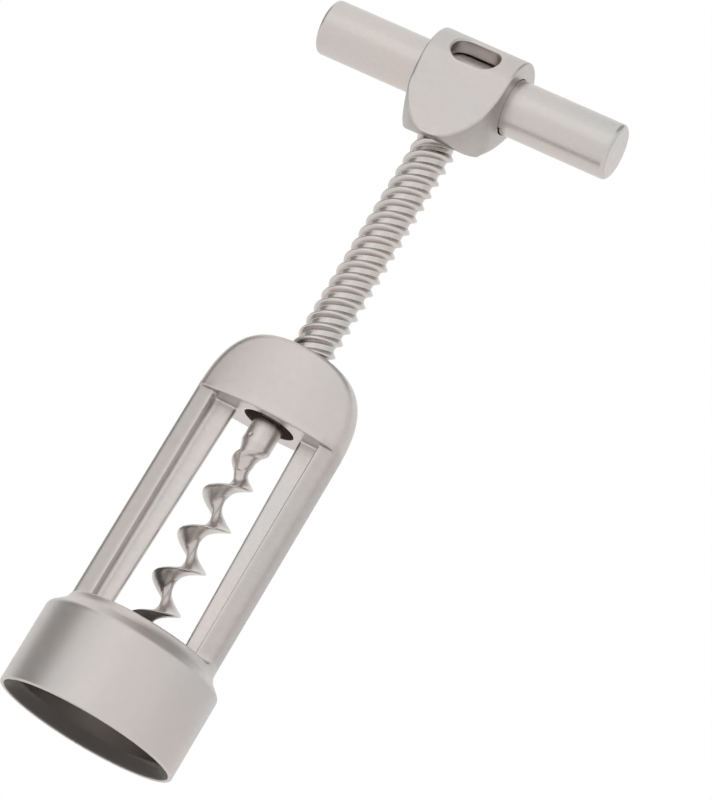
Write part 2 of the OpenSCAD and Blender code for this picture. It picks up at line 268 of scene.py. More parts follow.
def bell_distance(p):
    """Distance from the casting's surface, which mirrors left to right. The ring is a cylinder
    under a cone, stepped in to the legs' radius, less a bore that ends above in a cone and below
    in a bevel. A leg is a flange, a little wider upwards and inwards, joined to a thin web. The
    crown is a dome, (r / R) ^ across + (rise / H) ^ up = 1, less what stands past half - bend
    x^2 in front and a little more behind. The spindle's stepped hole goes through them."""
    x, y, z = np.abs(p[..., 0]), np.abs(p[..., 1]), p[..., 2]
    r = np.hypot(x, y)
    cone = (r - SHOULDER_R) * SHOULDER_OUT + (z - SHOULDER_Z) * SHOULDER_UP
    sweep = join(edge(r - RING_R, cone, SHOULDER_ROUND), r - LEG_R, STEP_FILLET)
    ring = edge(edge(sweep, z - RING_TOP, RIM_ROUND), -z, FOOT_ROUND)
    seat = ((r - MOUTH_R) + (z - SEAT_LOW) * SEAT_SLOPE) / math.hypot(1, SEAT_SLOPE)
    bevel = ((r - MOUTH_R) + (z - MOUTH_BEVEL) * BEVEL_SLOPE) / math.hypot(1, BEVEL_SLOPE)
    bore = edge(-np.maximum(r - MOUTH_R, seat), OPENING_R - r, SEAT_ROUND)
    ring = edge(ring, edge(bore, -bevel, BEVEL_ROUND), LIP_ROUND)

    share = (z - RING_TOP) / (CROWN_Z - RING_TOP)
    front = FLANGE_FOOT + FLANGE_FLARE * np.clip(share, 0, 1.1) + FLANGE_TAPER * (FLANGE_OUT - x)
    flange = edge(edge(y - front, r - LEG_R, FLANGE_ROUND), FLANGE_IN - x, FLANGE_CORNER)
    flange = np.maximum(flange, np.maximum(FLANGE_LOW - z, z - CROWN_Z - FLANGE_PAST))
    web_in = WEB_IN_LOW + (WEB_IN_HIGH - WEB_IN_LOW) * share
    web = np.maximum(edge(y - WEB_HALF, web_in - x, WEB_ROUND), x - FLANGE_IN - WEB_PAST)
    web = np.maximum(web, np.maximum(WEB_LOW - z, z - CROWN_Z - WEB_PAST))
    legs = join(flange, web, LEG_FILLET)

    across = (r / CROWN_R) ** (DOME_ACROSS - 1)
    rise = np.clip((z - CROWN_Z) / CROWN_H, 0, 2)
    up = rise ** (DOME_UP - 1)
    slope = np.hypot(DOME_ACROSS / CROWN_R * across, DOME_UP / CROWN_H * up)
    dome = (across * r / CROWN_R + up * rise - 1) / np.maximum(slope, DOME_LEAST_SLOPE)
    plan = FRONT_HALF - FRONT_BEND * x ** 2
    plan = np.where(p[..., 1] > 0, plan + BACK_MORE, plan)
    face = (y - plan) / np.hypot(1, 2 * FRONT_BEND * x)
    crown = edge(edge(dome, face, CROWN_ROUND), CROWN_Z - z, CROWN_FOOT_ROUND)
    upper = np.maximum(join(legs, crown, CROWN_FILLET), r - LEG_R)

    body = np.maximum(join(ring, upper, RING_FILLET), sweep)
    hole = np.minimum(np.maximum(r - BUSH_HOLE_R, z - BUSH_TOP), r - TOP_HOLE_R)
    return edge(body, -hole, HOLE_ROUND)


def slope_of(distance, points, step=0.02):
    """The gradient of a distance, from the difference on either side along each axis."""
    slope = np.empty_like(points)
    for axis in range(3):
        offset = np.zeros(3)
        offset[axis] = step
        slope[:, axis] = (distance(points + offset) - distance(points - offset)) / (2 * step)
    return slope


SETTLE_PASSES = 4
SETTLE_MOST = 0.15
SETTLE_LEAST_SLOPE = 0.5
TINY = 1e-9


def skin(distance, xs, ys, zs):
    """The surface on which a distance is zero. Each cell of the grid that the surface crosses has
    one point, at the mean of the crossings on its edges. In each of a few passes it then moves
    by distance * gradient / |gradient|^2 onto the surface, but never far. Each crossed edge of
    the grid gives a face with the points of its four cells."""
    grid = np.stack(np.meshgrid(xs, ys, zs, indexing="ij"), axis=-1)
    value = distance(grid)
    cells = tuple(n - 1 for n in value.shape)
    total = np.zeros((np.prod(cells), 3))
    count = np.zeros(np.prod(cells))
    faces = []
    for axis in range(3):
        low, high = [slice(None)] * 3, [slice(None)] * 3
        low[axis], high[axis] = slice(None, -1), slice(1, None)
        low, high = tuple(low), tuple(high)
        a, b = value[low], value[high]
        place = np.argwhere((a < 0) != (b < 0))
        at = tuple(place.T)
        share = a[at] / (a[at] - b[at])
        point = grid[low][at] + (grid[high][at] - grid[low][at]) * share[:, None]
        corners = []
        for back_u, back_v in ((0, 0), (1, 0), (1, 1), (0, 1)):
            cell = place.copy()
            cell[:, (axis + 1) % 3] -= back_u
            cell[:, (axis + 2) % 3] -= back_v
            flat = np.ravel_multi_index(tuple(cell.T), cells)
            np.add.at(total, flat, point)
            np.add.at(count, flat, 1)
            corners.append(flat)
        face = np.stack(corners, axis=1)
        turned = a[at] >= 0
        face[turned] = face[turned][:, ::-1]
        faces.append(face)
    used = np.flatnonzero(count)
    number = np.full(count.shape, -1)
    number[used] = np.arange(len(used))
    points = total[used] / count[used, None]
    for _ in range(SETTLE_PASSES):
        slope = slope_of(distance, points)
        size = np.maximum((slope ** 2).sum(axis=1), SETTLE_LEAST_SLOPE ** 2)
        step = (distance(points) / size)[:, None] * slope
        length = np.maximum(np.linalg.norm(step, axis=1), TINY)
        points = points - step * np.minimum(1, SETTLE_MOST / length)[:, None]
    return points, number[np.concatenate(faces)]


def steps(*stops):
    """Grid places from stop to stop: each stop is a place and the spacing up to the next."""
    runs = [np.linspace(a, b, max(2, round((b - a) / gap) + 1))[:-1]
            for (a, gap), (b, _) in zip(stops[:-1], stops[1:])]
    return np.concatenate(runs + [[stops[-1][0]]])


def store_shares(piece, **shares):
    """Keeps shares from 0 to 1, one at each point, as attributes that the piece's finish reads."""
    for label, value in shares.items():
        layer = piece.data.attributes.new(label, "FLOAT", "POINT")
        layer.data.foreach_set("value", np.clip(value, 0, 1).astype(np.float32).ravel())


EDGE_PROBE = 0.6


def cast_piece(name, distance, xs, ys, zs, turn=0.0, lift=0.0, shade=None):
    """A piece from its distance, turned about Z and lifted, with the attributes that its finish
    reads. Edge, where the surface bends away, is 1 + inner distance / probe, hollow, where it
    bends in, is 1 - outer distance / probe, a probe's length inside and outside the surface, and
    shade is a darkening from the shade function: painted shade on the hub, darker flanges on the bell."""
    points, faces = skin(distance, xs, ys, zs)
    normal = slope_of(distance, points)
    normal = normal / np.maximum(np.linalg.norm(normal, axis=1), TINY)[:, None]
    sharp = 1 + distance(points - normal * EDGE_PROBE) / EDGE_PROBE
    hollow = 1 - distance(points + normal * EDGE_PROBE) / EDGE_PROBE
    # The shade share darkens the finish: painted shade under the hub's shield, and a plain darkening
    # that is most on the bell's flanges.
    darkening = shade(points) if shade else np.zeros(len(points))
    c, s = math.cos(turn), math.sin(turn)
    rotation = np.array([[c, -s, 0], [s, c, 0], [0, 0, 1]])
    points = (points @ rotation.T + np.array([0, 0, lift])) * MM
    piece = surface(name, points, faces)
    store_shares(piece, edge=sharp, hollow=hollow, shade=darkening)
    piece.data.normals_split_custom_set_from_vertices((normal @ rotation.T).tolist())
    return piece


BELL_GAP = 0.4
half_grid = steps((0.2, BELL_GAP), (20.6, BELL_GAP))
wide = np.concatenate([-half_grid[::-1], half_grid])
tall = steps((-0.5, 0.25), (3.0, 0.6), (14.0, 0.35), (24.5, 0.9), (71.5, 0.3), (91.0, 0.3))
SHADE_ALL, SHADE_FLANGE = 0.12, 0.3


def leg_shade(points):
    """More on the flanges, a little on the crown and the ring, and nothing on the webs. It
    fades over a millimetre or two at the flanges' inner edge, the ring and the crown."""
    out = np.clip((np.abs(points[:, 0]) - FLANGE_IN + 0.1) / 1.2, 0, 1)
    window = np.clip((points[:, 2] - RING_TOP - 0.5) / 1.5, 0, 1)
    window = window * np.clip((CROWN_Z + 2 - points[:, 2]) / 2, 0, 1)
    return SHADE_ALL + window * (SHADE_FLANGE * out - SHADE_ALL * (1 - out))


bell = cast_piece("bell_casting", bell_distance, wide, wide, tall, shade=leg_shade)
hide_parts("bell_frame")
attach(bell, "frame")


def node_group(name, inputs, outputs):
    """An empty shader node group with named number inputs and outputs."""
    group = bpy.data.node_groups.new(name, "ShaderNodeTree")
    for label, value in inputs:
        socket = group.interface.new_socket(label, in_out="INPUT", socket_type="NodeSocketFloat")
        socket.default_value = value
    for label in outputs:
        group.interface.new_socket(label, in_out="OUTPUT", socket_type="NodeSocketFloat")
    return group, group.nodes.new("NodeGroupInput"), group.nodes.new("NodeGroupOutput")


def math_node(tree, operation, *values, clamp=False):
    """A Math node fed by sockets or plain numbers, and its output."""
    node = tree.nodes.new("ShaderNodeMath")
    node.operation = operation
    node.use_clamp = clamp
    for index, value in enumerate(values):
        if isinstance(value, (int, float)):
            node.inputs[index].default_value = value
        else:
            tree.links.new(value, node.inputs[index])
    return node.outputs["Value"]


def noise(tree, vector, scale, detail, roughness):
    """A noise texture's Fac output, at a scale per metre given by a number or a socket."""
    node = tree.nodes.new("ShaderNodeTexNoise")
    tree.links.new(vector, node.inputs["Vector"])
    node.inputs["Detail"].default_value = detail
    node.inputs["Roughness"].default_value = roughness
    if isinstance(scale, (int, float)):
        node.inputs["Scale"].default_value = scale
    else:
        tree.links.new(scale, node.inputs["Scale"])
    return node.outputs["Fac"]


MM_PER_M = 1000.0
CLOUD_PER_M, SPECK_PER_M, PATCH_PER_M = 75.0, 900.0, 420.0
CLOUD_GAIN, CLOUD_LIFT = 3.0, -1.0
SPECK_GAIN, SPECK_LIFT = 2.4, -0.7
BREAK_GAIN, BREAK_LIFT = 1.6, 0.1
SHADE_GAIN, SHADE_LIFT = 0.6, 0.55


def skin_group():
    """The skin of blasted and plated metal, in millimetres. Height is a fine grain's noise *
    grain depth + a slow swell's noise * swell depth. Cloud drifts over the whole piece, and
    Speck changes from spot to spot, each its noise * gain + lift."""
    inputs = (("Grain Size", 0.4), ("Grain Depth", 0.003), ("Swell Size", 6.0), ("Swell Depth", 0.02))
    group, given, result = node_group("plated_skin", inputs, ("Height", "Cloud", "Speck"))
    place = group.nodes.new("ShaderNodeTexCoord").outputs["Object"]
    grain_scale = math_node(group, "DIVIDE", MM_PER_M, given.outputs["Grain Size"])
    swell_scale = math_node(group, "DIVIDE", MM_PER_M, given.outputs["Swell Size"])
    grain = noise(group, place, grain_scale, detail=3.0, roughness=0.6)
    swell = noise(group, place, swell_scale, detail=1.0, roughness=0.4)
    swell = math_node(group, "MULTIPLY", swell, given.outputs["Swell Depth"])
    height = math_node(group, "MULTIPLY_ADD", grain, given.outputs["Grain Depth"], swell)
    cloud = noise(group, place, CLOUD_PER_M, detail=2.0, roughness=0.45)
    cloud = math_node(group, "MULTIPLY_ADD", cloud, CLOUD_GAIN, CLOUD_LIFT, clamp=True)
    speck = noise(group, place, SPECK_PER_M, detail=4.0, roughness=0.65)
    speck = math_node(group, "MULTIPLY_ADD", speck, SPECK_GAIN, SPECK_LIFT, clamp=True)
    for label, value in (("Height", height), ("Cloud", cloud), ("Speck", speck)):
        group.links.new(value, result.inputs[label])
    return group


def wear_group():
    """Handling. Bright is where edges are rubbed to bare metal, and the darker output is where dirt
    stays in the hollows, each (attribute + low) * gain, broken up by patches, * its amount. The
    darker output adds the shade times a patchy strength, which paints shade under the hub's shield
    and darkens the bell's flanges. They read the piece's own attributes edge, hollow and shade."""
    inputs = (("Rub", 0.5), ("Dirt", 0.5))
    group, given, result = node_group("handling_wear", inputs, ("Bright", "Dirt And Shade"))
    place = group.nodes.new("ShaderNodeTexCoord").outputs["Object"]
    patch = noise(group, place, PATCH_PER_M, detail=5.0, roughness=0.7)
    broken = math_node(group, "MULTIPLY_ADD", patch, BREAK_GAIN, BREAK_LIFT, clamp=True)
    for label, attribute, low, gain, amount in (("Bright", "edge", -0.25, 2.6, "Rub"),
                                                ("Dirt And Shade", "hollow", -0.2, 2.4, "Dirt")):
        reader = group.nodes.new("ShaderNodeAttribute")
        reader.attribute_name = attribute
        value = math_node(group, "ADD", reader.outputs["Fac"], low)
        value = math_node(group, "MULTIPLY", value, gain, clamp=True)
        value = math_node(group, "MULTIPLY", value, broken)
        value = math_node(group, "MULTIPLY", value, given.outputs[amount], clamp=True)
        if label == "Dirt And Shade":
            # The shade attribute adds painted shade under the hub's shield, and darkens the bell's
            # flanges.
            shade = group.nodes.new("ShaderNodeAttribute")
            shade.attribute_name = "shade"
            darkening = math_node(group, "MULTIPLY_ADD", patch, SHADE_GAIN, SHADE_LIFT)
            value = math_node(group, "MULTIPLY_ADD", shade.outputs["Fac"], darkening, value, clamp=True)
        group.links.new(value, result.inputs[label])
    return group


plated_skin = skin_group()
handling_wear = wear_group()
SKIN_INPUTS = ("Grain Size", "Grain Depth", "Swell Size", "Swell Depth")
WEAR_INPUTS = ("Rub", "Dirt")
MIX_FACTOR, MIX_FIRST, MIX_SECOND, MIX_RESULT = 0, 6, 7, 2
SPECK_SPREAD = 0.1
BRIGHT_SMOOTHER, DULL_ROUGHER = -0.1, 0.15


def placed_group(tree, group, labels, values):
    """A node group in a material, with the material's own values, and its outputs."""
    node = tree.nodes.new("ShaderNodeGroup")
    node.node_tree = group
    for label, value in zip(labels, values):
        node.inputs[label].default_value = value
    return node.outputs


def blend_colour(tree, factor, first, second):
    """A Mix node between two colours, each a socket or a plain colour, and its output."""
    node = tree.nodes.new("ShaderNodeMix")
    node.data_type = "RGBA"
    tree.links.new(factor, node.inputs[MIX_FACTOR])
    for index, colour in ((MIX_FIRST, first), (MIX_SECOND, second)):
        if isinstance(colour, tuple):
            node.inputs[index].default_value = (*colour, 1.0)
        else:
            tree.links.new(colour, node.inputs[index])
    return node.outputs[MIX_RESULT]


def metal(name, cool, warm, bright, dull, roughness, skin, wear=(0.5, 0.5), marks=None):
    """A metal finish. Its colour drifts from cool to warm with Cloud, then to bright where edges
    are rubbed and to dull in the hollows and where the shade attribute darkens it, painted shade
    on the hub. Its roughness is the given one, spread by Speck, less at edges and more in the
    hollows and the shade. The skin's height bumps it, in millimetres: skin gives the grain's size
    and depth and the swell's, wear the rub and the dirt. Marks are a node group and its values,
    and their height is added to the skin's."""
    finish = bpy.data.materials.new(name)
    finish.use_nodes = True
    tree = finish.node_tree
    shader = tree.nodes["Principled BSDF"]
    shader.inputs["Metallic"].default_value = 1.0
    plated = placed_group(tree, plated_skin, SKIN_INPUTS, skin)
    worn = placed_group(tree, handling_wear, WEAR_INPUTS, wear)
    colour = blend_colour(tree, plated["Cloud"], cool, warm)
    colour = blend_colour(tree, worn["Bright"], colour, bright)
    colour = blend_colour(tree, worn["Dirt And Shade"], colour, dull)
    tree.links.new(colour, shader.inputs["Base Color"])
    rough = math_node(tree, "MULTIPLY_ADD", plated["Speck"], SPECK_SPREAD, roughness - SPECK_SPREAD / 2)
    rough = math_node(tree, "MULTIPLY_ADD", worn["Bright"], BRIGHT_SMOOTHER, rough)
    rough = math_node(tree, "MULTIPLY_ADD", worn["Dirt And Shade"], DULL_ROUGHER, rough)
    tree.links.new(rough, shader.inputs["Roughness"])
    height = plated["Height"]
    if marks:
        height = math_node(tree, "ADD", height, placed_group(tree, *marks)["Height"])
    bump = tree.nodes.new("ShaderNodeBump")
    bump.inputs["Strength"].default_value = 1.0
    bump.inputs["Distance"].default_value = MM
    tree.links.new(height, bump.inputs["Height"])
    tree.links.new(bump.outputs["Normal"], shader.inputs["Normal"])
    return finish


def give(node, finish):
    """Puts one material on a CAD node."""
    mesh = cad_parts[node].data
    mesh.materials.clear()
    mesh.materials.append(finish)


cast_nickel = metal("cast_nickel", cool=(0.63, 0.613, 0.598), warm=(0.67, 0.613, 0.588),
                    bright=(0.82, 0.80, 0.78), dull=(0.36, 0.33, 0.30), roughness=0.37,
                    skin=(0.4, 0.003, 7.0, 0.008), wear=(0.7, 0.3))
bell.data.materials.append(cast_nickel)
give("bell_frame", cast_nickel)

# Spindle. A three-start screw turned from steel and nickel plated: its neck, cone and ferrule
# are one with it. Its threads are rolled, so their ridges are round.
THREAD_R, ROOT_R = 4.7, 3.7
LEAD = 9.45
STARTS = 3
THREAD_PHASE_Z = 133.5
THREAD_LOW, THREAD_TOP = 80.4, 145.0
THREAD_RINGS = 260
COLUMNS_PER_START = 50
RIDGE_HALF, RIDGE_POWER = 0.32, 0.65
HEAD_TURN = math.radians(-3.8)
FERRULE_R, NECK_R, GROOVE_R, STEM_R = 3.35, 2.7, 2.3, 3.6
AXIS_R = 0.01
FERRULE_SPLIT = 68.3
PIN_Z, PIN_ANGLE = 69.3, math.radians(-112)
PIT_R, PIT_DEPTH = 0.3, 0.9
CREST_RUB, ROOT_DIRT = 0.6, 0.7
ROOT_AT = 0.85
TUBE_SHARP = math.radians(70)


def ease(value):
    """A soft step from 0 to 1: 3 value^2 - 2 value^3."""
    value = np.clip(value, 0, 1)
    return value * value * (3 - 2 * value)


def pin_pit(angle, z):
    """Depth of the pit that the worm's pin is driven into, on the ferrule's round side: a soft
    step from full depth, at half the pit's radius, to nothing, at one and a half."""
    off = (angle - HEAD_TURN - PIN_ANGLE + math.pi) % (2 * math.pi) - math.pi
    return PIT_DEPTH * ease(1.5 - np.hypot(off * FERRULE_R, z - PIN_Z) / PIT_R)


def spindle_profile():
    """Radius and height of each ring up the spindle, and whether it carries the thread: the
    ferrule, the cone, the neck with the snap ring's groove, the thread, and the hub's stem."""
    ferrule = [(FERRULE_R, z) for z in np.linspace(FERRULE_SPLIT, 70.4, 15)]
    below = [(AXIS_R, FERRULE_SPLIT)] + ferrule + [
        (FERRULE_R, 71.5), (FERRULE_R, 73.4), (3.31, 73.75), (3.2, 74.0), (2.95, 74.25),
        (2.76, 74.5), (NECK_R, 74.8), (NECK_R, 75.5), (NECK_R, 77.65), (GROOVE_R, 77.66),
        (GROOVE_R, 78.44), (NECK_R, 78.45), (NECK_R, 80.38)]
    above = [(STEM_R, 145.02), (STEM_R, 152.25), (AXIS_R, 152.3)]
    threads = [(0.0, z) for z in np.linspace(THREAD_LOW, THREAD_TOP, THREAD_RINGS)]
    rings = np.array(below + threads + above)
    carries = np.array([0.0] * len(below) + [1.0] * len(threads) + [0.0] * len(above))
    return rings[:, 0], rings[:, 1], carries


def ring_points(radius, angle, height):
    """Rings of points round the axis, from their radius, angle and height."""
    height = np.broadcast_to(height, radius.shape)
    return np.stack([radius * np.cos(angle), radius * np.sin(angle), height], axis=-1)


def spindle_surface():
    """Rings of points round the axis. Column c stands at angle c / columns of a turn, and is
    carried round with the thread, a turn in each lead. A ridge's radius is root + depth * (half
    of 1 + cos(share)) ^ power, where the share runs from 0 at its crest to pi at its foot."""
    columns = STARTS * COLUMNS_PER_START
    radius, height, carries = spindle_profile()
    phase = np.arange(columns) / columns * STARTS
    near = np.abs((phase + 0.5) % 1 - 0.5) / RIDGE_HALF
    wave = 0.5 + 0.5 * np.cos(np.clip(near, 0, 1) * math.pi)
    ridge = ROOT_R + (THREAD_R - ROOT_R) * wave ** RIDGE_POWER
    radius, height, carries = radius[:, None], height[:, None], carries[:, None]
    climbed = np.clip(height, THREAD_LOW, THREAD_TOP) - THREAD_PHASE_Z
    angle = phase / STARTS * 2 * math.pi + climbed / LEAD * 2 * math.pi + HEAD_TURN
    r = np.where(carries > 0, ridge, radius)
    r = np.maximum(r - pin_pit(angle, height), AXIS_R)
    crest = carries * np.clip(1 - near * 2, 0, 1) * CREST_RUB
    root = carries * np.clip(1 - np.abs(near - ROOT_AT) * 4, 0, 1) * ROOT_DIRT
    return ring_points(r, angle, height), crest, root


def tube(name, points, sharp, hollow):
    """A closed tube from rings of points: its sides are faces between rings, its ends one face
    each. It carries the same attributes as a casting, apart from the shade."""
    rings, columns = points.shape[:2]
    row, column = np.meshgrid(np.arange(rings - 1), np.arange(columns), indexing="ij")
    after = (column + 1) % columns
    sides = np.stack([row * columns + column, row * columns + after, (row + 1) * columns + after,
                      (row + 1) * columns + column], axis=-1).reshape(-1, 4)
    first = range(columns - 1, -1, -1)
    last = range((rings - 1) * columns, rings * columns)
    piece = surface(name, points.reshape(-1, 3) * MM, sides, ends=(first, last))
    piece.data.set_sharp_from_angle(angle=TUBE_SHARP)
    store_shares(piece, edge=sharp, hollow=hollow)
    return piece


WAVE_RINGS_PER_M = 3.183
MARK_INPUTS = ("Spacing", "Depth", "Across X")


def marks_group():
    """Turning marks, in millimetres: Height is depth * a wave of fine rings at each spacing
    across the Z axis, or across X where Across X is 1. A wave texture of scale 1 has 3.183
    rings in a metre."""
    inputs = zip(MARK_INPUTS, (0.3, 0.001, 0.0))
    group, given, result = node_group("turning_marks", inputs, ("Height",))
    centred = group.nodes.new("ShaderNodeMapping")
    centred.inputs["Rotation"].default_value = (0.0, 0.0, -HEAD_TURN)
    place = group.nodes.new("ShaderNodeTexCoord").outputs["Object"]
    group.links.new(place, centred.inputs["Vector"])
    scale = math_node(group, "DIVIDE", MM_PER_M / WAVE_RINGS_PER_M, given.outputs["Spacing"])
    waves = []
    for axis in ("Z", "X"):
        rings = group.nodes.new("ShaderNodeTexWave")
        rings.bands_direction = axis
        rings.inputs["Distortion"].default_value = 1.5
        rings.inputs["Detail"].default_value = 2.0
        rings.inputs["Detail Scale"].default_value = 0.3
        group.links.new(scale, rings.inputs["Scale"])
        group.links.new(centred.outputs["Vector"], rings.inputs["Vector"])
        waves.append(rings.outputs["Fac"])
    change = math_node(group, "SUBTRACT", waves[1], waves[0])
    wave = math_node(group, "MULTIPLY_ADD", change, given.outputs["Across X"], waves[0])
    height = math_node(group, "MULTIPLY", wave, given.outputs["Depth"])
    group.links.new(height, result.inputs["Height"])
    return group


turning_marks = marks_group()
screw = tube("spindle_screw", *spindle_surface())
spindle_nickel = metal("spindle_nickel", cool=(0.62, 0.60, 0.575), warm=(0.66, 0.605, 0.57),
                       bright=(0.74, 0.71, 0.68), dull=(0.30, 0.27, 0.24), roughness=0.30,
                       skin=(0.5, 0.002, 3.0, 0.006), wear=(0.6, 0.5),
                       marks=(turning_marks, MARK_INPUTS, (0.25, 0.0008, 0.0)))
screw.data.materials.append(spindle_nickel)
give("spindle", spindle_nickel)
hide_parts("spindle")
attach(screw, "screw")

# Worm. An open helix of steel, drawn with a sharp outer edge, pointed below and nickel plated.
# Its top is set in the ferrule at the spindle's foot, where a pin locks it.
WORM_PITCH = 10.14
WORM_PHASE_Z = 8.92
WORM_TIP, WORM_TOP = 16.0, FERRULE_SPLIT + 0.05
WORM_POINTED, WORM_RUN_OUT = 24, 60
WORM_CORE, WORM_LOBE = 0.22, 4.79
WORM_COLUMNS, WORM_CROWDED = 72, 1.5
FLANK_TOP = 69
LOBE_RUB, CORE_DIRT = 0.9, 0.5


def lobe_share(angle):
    """How far the lobe reaches out, from 1 at its edge to 0 behind, by degrees from the edge."""
    return np.interp(np.abs(angle), [0, 3, 7, 14, 28, 45, 65, 90, 120, 150, 180],
                     [1, 0.991, 0.963, 0.888, 0.667, 0.433, 0.225, 0.123, 0.053, 0.026, 0])


def ferrule_flank(side, z):
    """Radius of the ferrule's run-out into the worm, by side, the angle from the right of the
    view: a sharp shoulder that climbs round the front, and a long soft one on the left. Each is
    read from the distance below its top."""
    shoulder = np.interp(side, [-180, -129, -94, -51, 0, 90, 180],
                         [63.6, 65.1, 66.4, 67.3, 67.8, 68.0, 68.3])
    sharp = np.interp(shoulder - z, [-0.3, 0, 0.65, 1.3, 1.95, 2.6, 3.9, 6, 9],
                      [3.345, 3.345, 3.0, 2.35, 2.1, 1.85, 1.6, 0.8, 0.2])
    soft = np.interp(FLANK_TOP - z, [0, 0.8, 1.5, 2.1, 2.8, 3.5, 5, 7, 9],
                     [3.345, 3.27, 3.0, 2.8, 2.6, 2.3, 1.6, 0.9, 0.2])
    weight = ease(np.where(side < 0, (-110 - side) / 70, (side - 90) / 90))
    return sharp * (1 - weight) + soft * weight


def worm_surface():
    """Each ring is core + (lobe - core) * share round the axis, with its columns crowded at the
    lobe's edge, and the rings turn with the height, once in each pitch. Towards the point the
    ring shrinks, and at the top it draws in and grows into the ferrule."""
    height = np.concatenate([np.linspace(WORM_TIP, WORM_POINTED, 60)[:-1],
                             np.linspace(WORM_POINTED, WORM_RUN_OUT, 190)[:-1],
                             np.linspace(WORM_RUN_OUT, WORM_TOP, 76)])[:, None]
    turn = np.linspace(-1, 1, WORM_COLUMNS + 1)[None, :-1]
    turn = np.sign(turn) * np.abs(turn) ** WORM_CROWDED * 180
    size = np.interp(height, [WORM_TIP, 17, 19, 22], [0.03, 0.2, 0.55, 1.0])
    core = np.interp(height, [54, 57, 60, 62, 64, 66], [WORM_CORE, 0.42, 0.5, 1.25, 1.7, 1.9]) * size
    tops = [54, 57, 60, 62, 64, 66, 69]
    lobe = np.interp(height, [55] + tops[1:], [WORM_LOBE, 4.72, 4.28, 3.85, 3.32, 2.8, 1.9]) * size
    shift = np.interp(height, tops, [0, 0.1, 0.3, 0.4, 0.5, 0.3, 0])
    share = lobe_share(turn)
    r = core + (lobe - core) * share
    angle = np.radians(turn) + (height - WORM_PHASE_Z + shift) / WORM_PITCH * 2 * math.pi + HEAD_TURN
    side = (np.degrees(angle) - math.degrees(VIEW_AZIMUTH) + 180) % 360 - 180
    flank = ferrule_flank(side, height)
    flank = np.where(height < 62, np.minimum(flank, core), flank)
    r = np.maximum(r, flank)
    bright = np.where(r > flank, share ** 3, 0) * LOBE_RUB
    dirt = np.where(height < WORM_RUN_OUT, np.clip(1 - share * 6, 0, 1), 0) * CORE_DIRT
    return ring_points(r, angle, height), bright, dirt


worm = tube("worm_helix", *worm_surface())
worm_nickel = metal("worm_nickel", cool=(0.59, 0.57, 0.55), warm=(0.63, 0.58, 0.55),
                    bright=(0.72, 0.69, 0.66), dull=(0.32, 0.29, 0.26), roughness=0.33,
                    skin=(0.35, 0.003, 3.0, 0.012), wear=(0.6, 0.5))
worm.data.materials.append(worm_nickel)
give("worm", worm_nickel)
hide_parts("worm")
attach(worm, "screw")


# Worm pin. A short pin of bare steel that locks the worm in the ferrule. It is driven in until
# its end lies below the ferrule's surface.
def pin_surface():
    """Rings along the pin's line, out of the spindle's axis: a rod with a slightly round end."""
    reach = np.array([0.3, 0.31, 1.0, 2.0, 2.3, 2.36, 2.38])[:, None]
    radius = np.array([0.01, 0.5, 0.5, 0.5, 0.48, 0.36, 0.01])[:, None]
    turn = np.linspace(0, 2 * math.pi, 25)[None, :-1]
    side, up = -radius * np.cos(turn), radius * np.sin(turn)
    c, s = math.cos(PIN_ANGLE + HEAD_TURN), math.sin(PIN_ANGLE + HEAD_TURN)
    reach = np.broadcast_to(reach, side.shape)
    points = np.stack([reach * c - side * s, reach * s + side * c, up + PIN_Z], axis=-1)
    return points, reach * 0, reach * 0


pin_steel = metal("pin_steel", cool=(0.30, 0.29, 0.28), warm=(0.34, 0.31, 0.28),
                  bright=(0.55, 0.54, 0.53), dull=(0.14, 0.12, 0.10), roughness=0.38,
                  skin=(0.3, 0.003, 3.0, 0.006))
pin = tube("worm_lock_pin", *pin_surface())
pin.data.materials.append(pin_steel)
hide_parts("worm_pin")
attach(pin, "screw")

# Hub. The cast head: round over the bar, a body that narrows to the spindle, and a flat shield
# at the front. The bar's bore runs across it, and an oval slot opens over the bar.
BAR_Z = 159.5
BAR_R = 6.2
BORE_R = 6.3
HUB_R = 10.0
HUB_HALF = 10.1
SHIELD_Y, SHIELD_TOP = 10.1, 1.5
SHIELD_SPRING, SHIELD_FOOT = 3.0, 17.3
SHIELD_POWER = 1.8
BODY_R, BODY_NARROW = 13.8, 0.026
BACK_Y, BACK_DRAW, BACK_DRAW_POWER = 10, 0.0487, 2.037
BACK_SLOPE, BACK_SLOPE_POWER = 0.0992, 1.037
BACK_POWER, BACK_FADE, BACK_LEAST = 3.44, 2.5, 0.5
SOLE_SLOPE = 0.252
SLOT_R, SLOT_HALF, SLOT_RISE = 3.5, 1.95, math.radians(25)
STEM_HOLE_R, STEM_HOLE_DROP = 3.6, 7.2
HOLLOW_R, HOLLOW_DROP = 4.9, 14.3
SHIELD_ROUND, SOLE_ROUND, BORE_ROUND, SLOT_ROUND = 0.25, 0.4, 0.3, 0.5
SIDE_ROUND, SIDE_SOFTER = 0.45, 0.9


